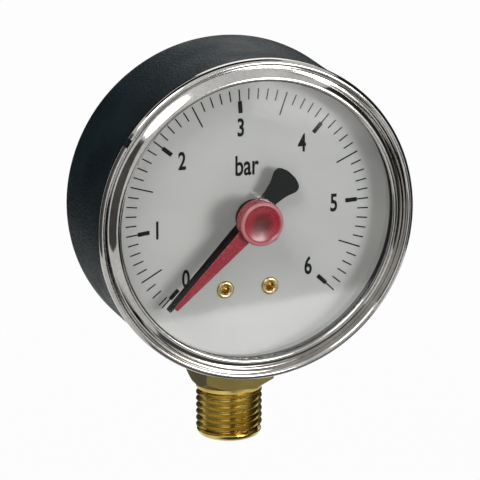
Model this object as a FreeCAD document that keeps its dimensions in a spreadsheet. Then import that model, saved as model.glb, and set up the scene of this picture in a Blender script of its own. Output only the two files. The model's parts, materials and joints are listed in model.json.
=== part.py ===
import FreeCAD, Part
import math
import os

import Sketcher

# Pressure gauge, 63 mm, with a bottom connection and a resettable marker hand.
# The part's frame: +Z up, the gauge looks towards -Y, and the origin is on the stem's axis
# where the thread meets the wrench square.
# Pieces around the pointer's axis are drawn in the dial's frame: X right, Y up and Z towards
# the viewer, from the centre of the dial's printed face.

SIZES = {
    # the dial's place
    "stem_reach": 5.9,
    "dial_reach": 11.5,
    # case
    "case_radius": 31.7,
    "case_wall": 1.7,
    "case_back_wall": 1.8,
    "case_back_depth": 19.5,
    "case_rim": 5.0,
    "case_step": 0.8,
    "case_corner": 3.0,
    "case_inner_corner": 1.2,
    # dial
    "dial_edge_gap": 0.4,
    "dial_thickness": 0.5,
    "dial_bore": 2.2,
    # bezel
    "bezel_overhang": 0.45,
    "bezel_lip_inset": 4.35,
    "bezel_crest_inset": 3.25,
    "bezel_valley_inset": 1.9,
    "bezel_bead_inset": 0.8,
    "bezel_front": 6.85,
    "bezel_valley_front": 5.6,
    "bezel_bead_front": 6.6,
    "bezel_edge_front": 5.9,
    "bezel_skirt_wall": 0.6,
    "bezel_skirt_depth": 1.4,
    "bezel_notch_width": 1.8,
    "bezel_notch_depth": 0.7,
    "bezel_notch_angle": 146,
    # window stack
    "window_thickness": 1.6,
    "window_front": 6.1,
    "window_fit": 0.1,
    "gasket_thickness": 0.6,
    "gasket_width": 1.25,
    "spacer_wall": 0.4,
    # stem
    "square_width": 14.0,
    "square_chamfer_margin": 0.4,
    "square_chamfer_rise": 1.75,
    "square_height": 5.4,
    "block_step_rise": 6.1,
    "block_top_drop": 10.6,
    "block_front": 2.2,
    "block_back_gap": 0.1,
    "stem_fit": 0.15,
    "thread_radius": 6.58,
    "thread_depth": 0.86,
    "thread_pitch": 1.337,
    "thread_crest": 0.3,
    "thread_collar": 1.3,
    "thread_length": 11.0,
    "thread_end_chamfer": 1.1,
    "port_radius": 2.5,
    "port_depth": 9.0,
    "passage_radius": 1.2,
    "passage_over_tube": 0.9,
    # pressure tube
    "tube_radius": 21.5,
    "tube_half_width": 1.4,
    "tube_half_height": 3.5,
    "tube_wall": 0.35,
    "tube_depth": 13.3,
    "tube_root_angle": 262,
    "tube_tip_angle": -15,
    "socket_fit": 0.04,
    "socket_extra": 0.5,
    # tube tip
    "tip_length": 4.4,
    "tip_wall": 0.5,
    "tip_pin_x": 20.1,
    "tip_pin_y": -7.9,
    "tip_lug_radius": 1.3,
    "tip_pin_radius": 0.5,
    "pin_fit": 0.03,
    # movement
    "plate_thickness": 0.8,
    "back_plate_thickness": 1.0,
    "plate_top": 5.2,
    "plate_bottom": -21.2,
    "plate_half_width": 9.8,
    "plate_waist": 6.5,
    "post_length": 1.6,
    "post_radius": 1.6,
    "pillar_radius": 1.4,
    "pillar_x": 8.0,
    "pillar_high_y": 3.4,
    "pillar_low_y": -19.5,
    "spigot_radius": 0.8,
    "screw_head_height": 0.8,
    "journal_radius": 0.6,
    "journal_fit": 0.03,
    "end_play": 0.1,
    "movement_screw_x": 4.2,
    "movement_screw_y": -17.6,
    "movement_screw_radius": 1.0,
    "movement_screw_head": 1.9,
    "movement_screw_grip": 3.4,
    "case_screw_x": 4.2,
    "case_screw_y": -13.6,
    "case_screw_radius": 1.5,
    "case_screw_head": 2.8,
    "case_screw_head_height": 1.3,
    "case_screw_grip": 4.0,
    "screw_fit": 0.02,
    # gears
    "gear_module": 0.25,
    "pinion_teeth": 10,
    "wheel_teeth": 100,
    "sector_teeth": 12,
    "sector_first_tooth": 57.6,
    "sector_thickness": 0.8,
    "sector_depth": 6.1,
    "sector_hub_radius": 2.2,
    "sector_rim": 1.8,
    "sector_spoke": 1.4,
    "tail_radius": 4.5,
    "tail_angle": -59.86,
    "tail_width": 1.8,
    "arbor_radius": 1.0,
    "pinion_length": 2.3,
    "pinion_depth": 6.6,
    "spindle_radius": 0.8,
    "spindle_front": 3.42,
    # link
    "link_thickness": 0.6,
    "link_gap": 0.1,
    "link_width": 1.5,
    "link_eye_radius": 1.1,
    "sector_pin_radius": 0.4,
    "open_pivot_gap": 0.14,
    # hairspring
    "collet_radius": 1.35,
    "collet_length": 1.0,
    "collet_depth": 4.2,
    "hairspring_radius": 5.0,
    "hairspring_turns": 5,
    "hairspring_strip": 0.12,
    "hairspring_height": 0.4,
    "stud_radius": 0.45,
    # rivets on the dial
    "rivet_x": 4.6,
    "rivet_y": -15.2,
    "rivet_head_radius": 1.8,
    "rivet_head_height": 0.45,
    "rivet_shank_radius": 0.95,
    "rivet_cone_radius": 1.2,
    # pointer
    "pointer_length": 24.6,
    "pointer_tip_width": 1.2,
    "pointer_hub_width": 3.6,
    "pointer_tail": 11.2,
    "pointer_tail_width": 6.7,
    "pointer_neck_width": 3.4,
    "pointer_neck": 5.0,
    "pointer_thickness": 0.3,
    "pointer_depth": 3.15,
    "pointer_angle": 225.0,
    "pointer_hub_radius": 3.7,
    "pointer_bush_radius": 1.5,
    "pointer_bush_depth": 1.0,
    "pointer_cap": 0.3,
    "spindle_fit": 0.02,
    # marker hand outside the window
    "marker_gap": 0.15,
    "knob_radius": 4.45,
    "knob_height": 2.95,
    "knob_round": 0.55,
    "knob_dish_radius": 3.3,
    "knob_dish_depth": 0.25,
    "marker_blade_lift": 0.25,
    "marker_blade": 0.7,
    "marker_length": 23.5,
    "marker_tip_width": 0.8,
    "marker_root_width": 3.4,
    "marker_angle": 223.6,
    "marker_pin_radius": 1.85,
    "marker_pin_depth": 2.0,
    "marker_neck_radius": 1.2,
    "marker_neck_fit": 0.05,
    "washer_radius": 2.3,
    "washer_thickness": 0.2,
    "retainer_radius": 2.5,
    "retainer_thickness": 0.25,
    "retainer_gap": 0.03,
}

doc = FreeCAD.newDocument("pressure_gauge")
sheet = doc.addObject("Spreadsheet::Sheet", "Sizes")
for row, (word, number) in enumerate(SIZES.items(), start=1):
    sheet.set(f"A{row}", word)
    sheet.set(f"B{row}", str(number))
    sheet.setAlias(f"B{row}", word)
doc.recompute()


class Size:
    """A number, and the sheet expression that gives it."""

    def __init__(self, value, text=None):
        self.value = float(value)
        self.text = text if text is not None else f"{float(value):.10g}"

    def __add__(self, other):
        other = as_size(other)
        return Size(self.value + other.value, f"({self.text} + {other.text})")

    def __sub__(self, other):
        other = as_size(other)
        return Size(self.value - other.value, f"({self.text} - {other.text})")

    def __mul__(self, other):
        other = as_size(other)
        return Size(self.value * other.value, f"({self.text} * {other.text})")

    def __truediv__(self, other):
        other = as_size(other)
        return Size(self.value / other.value, f"({self.text} / {other.text})")

    def __neg__(self):
        return Size(-self.value, f"(0 - {self.text})")


def as_size(number):
    return number if isinstance(number, Size) else Size(number)


def cosine(angle):
    return Size(math.cos(math.radians(angle.value)), f"cos({angle.text} * 1 deg)")


def sine(angle):
    return Size(math.sin(math.radians(angle.value)), f"sin({angle.text} * 1 deg)")


class Sheet:
    """Each size of the sheet by its word."""

    def __getattr__(self, word):
        return Size(SIZES[word], f"Sizes.{word}")


S = Sheet()
ZERO = Size(0)

# Depths in the dial's frame that several pieces share.
dial_back = -S.dial_thickness
front_plate_front = dial_back - S.post_length
front_plate_back = front_plate_front - S.plate_thickness
block_front_face = S.block_front - S.dial_reach
back_plate_back = block_front_face
back_plate_front = back_plate_back + S.back_plate_thickness
case_back = -S.case_back_depth
case_floor = case_back + S.case_back_wall
block_back_face = case_floor + S.block_back_gap
window_back = S.window_front - S.window_thickness
gasket_back = window_back - S.gasket_thickness
knob_back = S.window_front + S.marker_gap
# Radii, heights and distances that follow from others.
axis_height = S.case_radius + S.stem_reach
block_step = S.stem_reach + S.block_step_rise
block_top = axis_height - S.block_top_drop
passage_top = axis_height - S.tube_radius + S.passage_over_tube
bezel_radius = S.case_radius + S.bezel_overhang
lip_radius = bezel_radius - S.bezel_lip_inset
crest_radius = bezel_radius - S.bezel_crest_inset
valley_radius = bezel_radius - S.bezel_valley_inset
bead_radius = bezel_radius - S.bezel_bead_inset
case_bore = S.case_radius - S.case_wall
case_deep_bore = case_bore - S.case_step
skirt_outer = case_bore - 0.05
skirt_inner = skirt_outer - S.bezel_skirt_wall
window_radius = skirt_inner - S.window_fit
pinion_pitch = S.gear_module * S.pinion_teeth / 2
wheel_pitch = S.gear_module * S.wheel_teeth / 2
arbor_y = -(pinion_pitch + wheel_pitch)
half_square = S.square_width / 2
chamfer_radius = half_square + S.square_chamfer_margin
dial_radius = case_bore - S.dial_edge_gap
gasket_bore = window_radius - S.gasket_width

nodes = {}


def bind(thing, prop, number):
    number = as_size(number)
    if number.text.startswith(("(", "Sizes", "cos", "sin")):
        thing.setExpression(prop, number.text)
    else:
        thing.setExpression(prop, f"{number.value:.10g} + 0 * Sizes.case_radius")


def place(thing, x=ZERO, y=ZERO, z=ZERO, turn=0.0):
    thing.Placement = FreeCAD.Placement(
        FreeCAD.Vector(0, 0, 0), FreeCAD.Rotation(FreeCAD.Vector(0, 0, 1), turn)
    )
    for name, number in (("x", x), ("y", y), ("z", z)):
        bind(thing, f"Placement.Base.{name}", number)


def on_dial(thing, turn=0.0):
    """Stand a piece drawn in the dial's frame upright in the part's frame."""
    upright = FreeCAD.Rotation(FreeCAD.Vector(1, 0, 0), 90)
    spin = FreeCAD.Rotation(FreeCAD.Vector(0, 0, 1), turn)
    thing.Placement = FreeCAD.Placement(FreeCAD.Vector(0, 0, 0), upright.multiply(spin))
    bind(thing, "Placement.Base.y", -S.dial_reach)
    bind(thing, "Placement.Base.z", axis_height)
    return thing


def node(name, thing, turn=0.0, dial_frame=True):
    thing.Label = name
    if dial_frame:
        on_dial(thing, turn)
    nodes[name] = thing
    return thing


def rod(radius, start, end, x=ZERO, y=ZERO):
    """A cylinder along Z from start to end."""
    thing = doc.addObject("Part::Cylinder", "Rod")
    bind(thing, "Radius", radius)
    bind(thing, "Height", as_size(end) - start)
    place(thing, x, y, as_size(start))
    return thing


def cone(start_radius, end_radius, start, end, x=ZERO, y=ZERO):
    thing = doc.addObject("Part::Cone", "Cone")
    bind(thing, "Radius1", start_radius)
    bind(thing, "Radius2", end_radius)
    bind(thing, "Height", as_size(end) - start)
    place(thing, x, y, as_size(start))
    return thing


def block(low, high):
    """A box between two corners."""
    thing = doc.addObject("Part::Box", "Block")
    for prop, a, b in zip(("Length", "Width", "Height"), low, high):
        bind(thing, prop, as_size(b) - a)
    place(thing, *[as_size(a) for a in low])
    return thing


def tooth(root_radius, tip_radius, root_width, tip_width, start, end, turn, x=ZERO, y=ZERO):
    """A tapered tooth that points away from (x, y) at the angle turn."""
    thing = doc.addObject("Part::Wedge", "Tooth")
    bind(thing, "Xmin", -(as_size(root_width) / 2))
    bind(thing, "Xmax", as_size(root_width) / 2)
    bind(thing, "X2min", -(as_size(tip_width) / 2))
    bind(thing, "X2max", as_size(tip_width) / 2)
    bind(thing, "Ymin", root_radius)
    bind(thing, "Ymax", tip_radius)
    for prop in ("Zmin", "Z2min"):
        bind(thing, prop, 0)
    for prop in ("Zmax", "Z2max"):
        bind(thing, prop, as_size(end) - start)
    place(thing, x, y, start, turn - 90)
    return thing


def fuse(*parts):
    thing = doc.addObject("Part::MultiFuse", "Joined")
    thing.Shapes = list(parts)
    thing.Refine = True
    return thing


def cut(base, *tools):
    thing = doc.addObject("Part::Cut", "Cut")
    thing.Base = base
    thing.Tool = tools[0] if len(tools) == 1 else fuse(*tools)
    thing.Refine = True
    return thing


def origin_plane(body, role):
    return next(p for p in body.Origin.OriginFeatures if p.Role == role)


def pin_point(sketch, line, end, x, y):
    """Hold a sketch point at x, y with constraints that follow the sheet."""
    for kind, number, axis in (("DistanceX", x, -2), ("DistanceY", y, -1)):
        number = as_size(number)
        if abs(number.value) < 1e-9:
            sketch.addConstraint(Sketcher.Constraint("PointOnObject", line, end, axis))
            continue
        if number.value > 0:
            held = Sketcher.Constraint(kind, -1, 1, line, end, number.value)
        else:
            held = Sketcher.Constraint(kind, line, end, -1, 1, -number.value)
            number = -number
        index = sketch.addConstraint(held)
        bind(sketch, f"Constraints[{index}]", number)


def outline(body, role, points, holes=(), lift=None):
    """A closed sketch of straight sides through the points, with round holes (x, y, radius)."""
    sketch = body.newObject("Sketcher::SketchObject", "Outline")
    sketch.AttachmentSupport = [(origin_plane(body, role), "")]
    sketch.MapMode = "FlatFace"
    if lift is not None:
        bind(sketch, "AttachmentOffset.Base.z", lift)
    corners = [FreeCAD.Vector(as_size(x).value, as_size(y).value, 0) for x, y in points]
    for i, corner in enumerate(corners):
        sketch.addGeometry(Part.LineSegment(corner, corners[(i + 1) % len(corners)]), False)
    for i in range(len(corners)):
        after = (i + 1) % len(corners)
        sketch.addConstraint(Sketcher.Constraint("Coincident", i, 2, after, 1))
    for i, (x, y) in enumerate(points):
        pin_point(sketch, i, 1, x, y)
    for x, y, radius in holes:
        centre = FreeCAD.Vector(as_size(x).value, as_size(y).value, 0)
        ring = Part.Circle(centre, FreeCAD.Vector(0, 0, 1), as_size(radius).value)
        index = sketch.addGeometry(ring, False)
        pin_point(sketch, index, 3, x, y)
        held = sketch.addConstraint(Sketcher.Constraint("Radius", index, as_size(radius).value))
        bind(sketch, f"Constraints[{held}]", radius)
    return sketch


def slot_outline(body, x, y, half_width, half_height):
    """A closed sketch of an upright slot with round ends, around (x, y)."""
    sketch = body.newObject("Sketcher::SketchObject", "Slot")
    sketch.AttachmentSupport = [(origin_plane(body, "XZ_Plane"), "")]
    sketch.MapMode = "FlatFace"
    add_slot(sketch, x, y, half_width, half_height)
    return sketch


def add_slot(sketch, x, y, half_width, half_height):
    up = FreeCAD.Vector(0, 0, 1)
    reach = half_height - half_width
    high = FreeCAD.Vector(x.value, (y + reach).value, 0)
    low = FreeCAD.Vector(x.value, (y - reach).value, 0)
    side = FreeCAD.Vector(half_width.value, 0, 0)
    top_ring = Part.Circle(high, up, half_width.value)
    low_ring = Part.Circle(low, up, half_width.value)
    first = sketch.addGeometry(Part.ArcOfCircle(top_ring, 0, math.pi), False)
    left = sketch.addGeometry(Part.LineSegment(high - side, low - side), False)
    second = sketch.addGeometry(Part.ArcOfCircle(low_ring, math.pi, 2 * math.pi), False)
    right = sketch.addGeometry(Part.LineSegment(low + side, high + side), False)
    for a, b in ((first, left), (left, second), (second, right), (right, first)):
        sketch.addConstraint(Sketcher.Constraint("Tangent", a, 2, b, 1))
    sketch.addConstraint(Sketcher.Constraint("Equal", first, second))
    pin_point(sketch, first, 3, x, y + reach)
    pin_point(sketch, second, 3, x, y - reach)
    held = sketch.addConstraint(Sketcher.Constraint("Radius", first, half_width.value))
    bind(sketch, f"Constraints[{held}]", half_width)


def spun(name, points, sweep=360):
    """A turned body: the outline (radius, depth) spun about Z."""
    body = doc.addObject("PartDesign::Body", name)
    sketch = outline(body, "XZ_Plane", points)
    spin_sketch(body, sketch, sweep)
    return body


def spin_sketch(body, sketch, sweep):
    turned = body.newObject("PartDesign::Revolution", "Turned")
    turned.Profile = sketch
    turned.ReferenceAxis = (sketch, ["V_Axis"])
    bind(turned, "Angle", sweep)
    sketch.Visibility = False


def flat(name, points, start, thickness, holes=()):
    """A flat body: the outline (x, y) padded from start along Z."""
    body = doc.addObject("PartDesign::Body", name)
    sketch = outline(body, "XY_Plane", points, holes, lift=start)
    pad = body.newObject("PartDesign::Pad", "Sheet")
    pad.Profile = sketch
    bind(pad, "Length", thickness)
    return body


def rounded(body, radius, wanted):
    """Fillet the edges of the body that the test picks out."""
    doc.recompute()
    base = body.Tip
    names = [f"Edge{i}" for i, edge in enumerate(base.Shape.Edges, start=1) if wanted(edge)]
    if not names:
        raise RuntimeError(f"no edge to round on {body.Label}")
    fillet = body.newObject("PartDesign::Fillet", "Rounding")
    fillet.Base = (base, names)
    bind(fillet, "Radius", radius)
    return body


def circle_at(radius, depth):
    """A test for the full circle of this radius at this depth."""

    def wanted(edge):
        round_edge = isinstance(edge.Curve, Part.Circle)
        return (
            round_edge
            and abs(edge.Curve.Radius - radius.value) < 1e-4
            and abs(edge.Curve.Center.z - depth.value) < 1e-4
        )

    return wanted


def upright_at(points):
    """A test for the straight edges along Z through these corners."""

    def wanted(edge):
        if not isinstance(edge.Curve, (Part.Line, Part.LineSegment)):
            return False
        a, b = edge.Vertexes[0].Point, edge.Vertexes[-1].Point
        if math.hypot(a.x - b.x, a.y - b.y) > 1e-6:
            return False
        return any(
            math.hypot(a.x - as_size(x).value, a.y - as_size(y).value) < 1e-4 for x, y in points
        )

    return wanted


def polar(radius, angle, x=ZERO, y=ZERO):
    return x + radius * cosine(angle), y + radius * sine(angle)


def turned_points(points, angle, x=ZERO, y=ZERO):
    """Points given along and across a hand, turned to its angle about (x, y)."""
    c, s = cosine(angle), sine(angle)
    out = []
    for along, across in points:
        along, across = as_size(along), as_size(across)
        out.append((x + along * c - across * s, y + along * s + across * c))
    return out


def both_sides(x, y):
    return ((-x, y), (x, y))


def rod_node(name, radius, start, end, x, y):
    """A single cylinder of the dial's frame as a node of its own."""
    thing = rod(radius, start, end)
    node(name, thing)
    bind(thing, "Placement.Base.x", x)
    bind(thing, "Placement.Base.y", -(as_size(start) + S.dial_reach))
    bind(thing, "Placement.Base.z", axis_height + y)


# Case: a deep moulded cup with a step that carries the dial.
def make_case():
    cup = spun(
        "Cup",
        [
            (ZERO, case_back),
            (S.case_radius, case_back),
            (S.case_radius, S.case_rim),
            (case_bore, S.case_rim),
            (case_bore, dial_back),
            (case_deep_bore, dial_back),
            (case_deep_bore, case_floor),
            (ZERO, case_floor),
        ],
    )
    rounded(cup, S.case_corner, circle_at(S.case_radius, case_back))
    rounded(cup, S.case_inner_corner, circle_at(case_deep_bore, case_floor))
    gap = half_square + S.stem_fit
    opening = block(
        (-gap, -(S.case_radius + 1), case_floor),
        (gap, -(case_deep_bore - 4), -S.dial_reach + gap),
    )
    tools = [opening]
    for x, y in both_sides(S.case_screw_x, S.case_screw_y):
        tools.append(rod(S.case_screw_radius + 0.1, case_back - 1, case_floor + 1, x, y))
        tools.append(
            cone(
                S.case_screw_head + 0.1,
                S.case_screw_radius + 0.1,
                case_back,
                case_back + S.case_screw_head_height,
                x,
                y,
            )
        )
    node("case", cut(cup, *tools))


# Bezel: a plated ring that snaps into the case's mouth and holds the window down.
def make_bezel():
    seat = S.window_front + 0.05
    ring = spun(
        "Ring",
        [
            (lip_radius, seat),
            (lip_radius, S.bezel_front - 0.35),
            (lip_radius + 0.3, S.bezel_front),
            (crest_radius, S.bezel_front - 0.15),
            (valley_radius, S.bezel_valley_front),
            (bead_radius - 0.4, S.bezel_bead_front - 0.1),
            (bead_radius, S.bezel_bead_front),
            (bezel_radius - 0.25, S.bezel_edge_front + 0.4),
            (bezel_radius, S.bezel_edge_front),
            (bezel_radius, S.case_rim + 0.05),
            (skirt_outer, S.case_rim + 0.05),
            (skirt_outer, S.case_rim - S.bezel_skirt_depth),
            (skirt_inner, S.case_rim - S.bezel_skirt_depth),
            (skirt_inner, seat),
        ],
    )
    notch = block(
        (bezel_radius - S.bezel_notch_depth, -(S.bezel_notch_width / 2), S.case_rim - 1),
        (bezel_radius + 1, S.bezel_notch_width / 2, S.bezel_front + 1),
    )
    place(notch)
    notch_turn = SIZES["bezel_notch_angle"]
    notch.Placement = FreeCAD.Placement(
        FreeCAD.Vector(0, 0, 0), FreeCAD.Rotation(FreeCAD.Vector(0, 0, 1), notch_turn)
    )
    start = bezel_radius - S.bezel_notch_depth
    angle = S.bezel_notch_angle
    half = S.bezel_notch_width / 2
    bind(notch, "Placement.Base.x", start * cosine(angle) + half * sine(angle))
    bind(notch, "Placement.Base.y", start * sine(angle) - half * cosine(angle))
    bind(notch, "Placement.Base.z", S.case_rim - 1)
    node("bezel", cut(ring, notch))


# Window stack: clear sheet, rubber ring and the spacer that stands on the dial's rim.
def make_window_stack():
    hole = S.marker_neck_radius + S.marker_neck_fit
    pane = rod(window_radius, window_back, S.window_front)
    node("window", cut(pane, rod(hole, window_back - 1, S.window_front + 1)))
    ring = rod(window_radius, gasket_back, window_back)
    node("window_gasket", cut(ring, rod(gasket_bore, gasket_back - 1, window_back + 1)))
    node(
        "spacer_ring",
        spun(
            "Spacer",
            [
                (window_radius - S.spacer_wall, ZERO),
                (window_radius, ZERO),
                (window_radius, gasket_back),
                (gasket_bore, gasket_back),
            ],
        ),
    )


# Dial with its two hollow rivets and the posts that carry it on the movement.
def make_dial():
    tools = [rod(S.dial_bore, dial_back - 1, 1)]
    hole = S.rivet_shank_radius + S.screw_fit
    for x, y in both_sides(S.rivet_x, S.rivet_y):
        tools.append(rod(hole, dial_back - 1, 1, x, y))
    node("dial", cut(rod(dial_radius, dial_back, ZERO), *tools))
    posts = []
    rivets = []
    for x, y in both_sides(S.rivet_x, S.rivet_y):
        sleeve = rod(S.post_radius, front_plate_front, dial_back, x, y)
        posts.append(cut(sleeve, rod(hole, front_plate_front - 1, dial_back + 1, x, y)))
        head = fuse(
            rod(S.rivet_head_radius, ZERO, S.rivet_head_height, x, y),
            rod(S.rivet_shank_radius, front_plate_back, ZERO, x, y),
        )
        mouth = cone(0.35, S.rivet_cone_radius, -0.9, S.rivet_head_height, x, y)
        rivets.append(cut(head, mouth))
    node("dial_posts", fuse(*posts))
    node("dial_rivets", fuse(*rivets))


def thread_outline():
    """Half the stem's turned end: collar, thread ridges of the real pitch, and end chamfer."""
    root = S.thread_radius - S.thread_depth
    points = [(ZERO, Size(1)), (S.thread_radius, Size(1))]
    points.append((S.thread_radius, -S.thread_collar))
    flank = (S.thread_pitch - S.thread_crest) / 2
    ridges = 6
    for k in range(ridges):
        top = -S.thread_collar - S.thread_pitch * k
        points.append((root, top - flank))
        if k < ridges - 1:
            points.append((S.thread_radius, top - S.thread_pitch + S.thread_crest))
            points.append((S.thread_radius, top - S.thread_pitch))
    last = -S.thread_collar - S.thread_pitch * ridges
    points.append((S.thread_radius, last + S.thread_crest))
    points.append((S.thread_radius, -S.thread_length + S.thread_end_chamfer * 0.6))
    points.append((S.thread_radius - S.thread_end_chamfer, -S.thread_length))
    points.append((ZERO, -S.thread_length))
    return points


# Stem: one brass piece with the thread, the wrench square and the block inside the case.
def make_stem():
    width = half_square
    back = -(case_floor + S.dial_reach) - S.block_back_gap
    square = block((-width, -width, ZERO), (width, width, S.square_height))
    slope = S.square_chamfer_rise / (width * math.sqrt(2) - chamfer_radius)
    crown_rise = slope * (width * 1.5 - chamfer_radius)
    crown = spun(
        "Crown",
        [
            (ZERO, ZERO),
            (chamfer_radius, ZERO),
            (width * 1.5, crown_rise),
            (width * 1.5, S.square_height),
            (ZERO, S.square_height),
        ],
    )
    wrench = doc.addObject("Part::Common", "Wrench")
    wrench.Base = square
    wrench.Tool = crown
    neck = block((-width, -width, S.square_height), (width, back, block_step))
    head = block((-width, -S.block_front, block_step), (width, back, block_top))
    thread = spun("Thread", thread_outline())
    blank = fuse(wrench, neck, head, thread)
    tools = [
        rod(S.port_radius, -S.thread_length - 1, S.port_depth - S.thread_length),
        rod(S.passage_radius, S.port_depth - S.thread_length - 1, passage_top),
    ]
    tube_centre = S.tube_depth - S.dial_reach
    crossing = block(
        (-half_square * 0.5, ZERO, passage_top - 2), (Size(1), tube_centre + 1, passage_top)
    )
    tools.append(crossing)
    socket = tube_sweep(
        "Socket",
        S.tube_half_width + S.socket_fit,
        S.tube_half_height + S.socket_fit,
        Size(30),
    )
    on_dial(socket, SIZES["tube_root_angle"] + SIZES["socket_extra"] - 30)
    tools.append(socket)
    upright = FreeCAD.Rotation(FreeCAD.Vector(1, 0, 0), 90)
    case_holes = []
    for x, y in both_sides(S.case_screw_x, S.case_screw_y):
        radius = S.case_screw_radius + S.screw_fit
        top = block_back_face + S.case_screw_grip + 0.5
        case_holes.append(rod(radius, block_back_face - 1, top, x, y))
    for x, y in both_sides(S.movement_screw_x, S.movement_screw_y):
        radius = S.movement_screw_radius + S.screw_fit
        low = block_front_face - S.movement_screw_grip - 0.3
        case_holes.append(rod(radius, low, block_front_face + 1, x, y))
    holes = fuse(*case_holes)
    holes.Placement.Rotation = upright
    on_dial(holes)
    tools.append(holes)
    node("stem", cut(blank, *tools), dial_frame=False)


def tube_sweep(name, half_width, half_height, sweep):
    """The pressure tube's outer shape, swept about the dial's axis."""
    body = doc.addObject("PartDesign::Body", name)
    sketch = slot_outline(body, S.tube_radius, -S.tube_depth, half_width, half_height)
    spin_sketch(body, sketch, sweep)
    return body


# Pressure tube: a flattened C tube, open at its root, with the tip piece that closes it.
def make_tube():
    body = doc.addObject("PartDesign::Body", "Tube")
    sketch = slot_outline(
        body, S.tube_radius, -S.tube_depth, S.tube_half_width, S.tube_half_height
    )
    inner_width = S.tube_half_width - S.tube_wall
    inner_height = S.tube_half_height - S.tube_wall
    add_slot(sketch, S.tube_radius, -S.tube_depth, inner_width, inner_height)
    sweep = S.tube_root_angle - S.tube_tip_angle
    spin_sketch(body, sketch, sweep)
    node("bourdon_tube", body, SIZES["tube_tip_angle"])

    wide = S.tube_half_width + S.tip_wall
    tall = S.tube_half_height + S.tip_wall
    low = (S.tube_radius - wide, -S.tip_length, -S.tube_depth - tall)
    high = (S.tube_radius + wide, ZERO, -S.tube_depth + tall)
    plug = block(low, high)
    plug_turn = SIZES["tube_tip_angle"]
    plug_frame = doc.addObject("Part::MultiFuse", "Plug")
    plug_frame.Shapes = [plug, block(low, high)]
    plug_frame.Placement = FreeCAD.Placement(
        FreeCAD.Vector(0, 0, 0), FreeCAD.Rotation(FreeCAD.Vector(0, 0, 1), plug_turn)
    )
    link_back = link_front() - S.link_thickness
    lug_front = link_back - S.link_gap
    lug = rod(S.tip_lug_radius, -S.tube_depth + tall - 1, lug_front, S.tip_pin_x, S.tip_pin_y)
    hole = rod(
        S.tip_pin_radius + S.pin_fit, -S.tube_depth + 1, lug_front + 1, S.tip_pin_x, S.tip_pin_y
    )
    node("tube_tip", cut(fuse(plug_frame, lug), hole))
    pin = fuse(
        rod(
            S.tip_pin_radius,
            -S.tube_depth + 1.2,
            link_front() + 0.3,
            S.tip_pin_x,
            S.tip_pin_y,
        ),
        rod(
            S.link_eye_radius - 0.1,
            link_front() + 0.08,
            link_front() + 0.4,
            S.tip_pin_x,
            S.tip_pin_y,
        ),
    )
    node("tip_pin", pin)


def link_front():
    return -S.sector_depth - S.link_gap


def tail_point():
    return polar(S.tail_radius, S.tail_angle, ZERO, arbor_y)


# Link: a flat bar between the tube's tip and the sector's tail.
def make_link():
    tail_x, tail_y = tail_point()
    across_x = S.tip_pin_x - tail_x
    across_y = S.tip_pin_y - tail_y
    length = Size(
        math.hypot(across_x.value, across_y.value),
        f"sqrt({across_x.text} * {across_x.text} + {across_y.text} * {across_y.text})",
    )
    ux, uy = across_x / length, across_y / length
    half = S.link_width / 2
    back = link_front() - S.link_thickness
    bar = flat(
        "Bar",
        [
            (tail_x + uy * half, tail_y - ux * half),
            (S.tip_pin_x + uy * half, S.tip_pin_y - ux * half),
            (S.tip_pin_x - uy * half, S.tip_pin_y + ux * half),
            (tail_x - uy * half, tail_y + ux * half),
        ],
        back,
        S.link_thickness,
    )
    eyes = [
        rod(S.link_eye_radius, back, link_front(), S.tip_pin_x, S.tip_pin_y),
        rod(S.link_eye_radius, back, link_front(), tail_x, tail_y),
    ]
    tight = S.tip_pin_radius + S.pin_fit
    loose = S.sector_pin_radius + S.open_pivot_gap
    holes = [
        rod(tight, back - 1, link_front() + 1, S.tip_pin_x, S.tip_pin_y),
        rod(loose, back - 1, link_front() + 1, tail_x, tail_y),
    ]
    node("link", cut(fuse(bar, *eyes), *holes))


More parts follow.
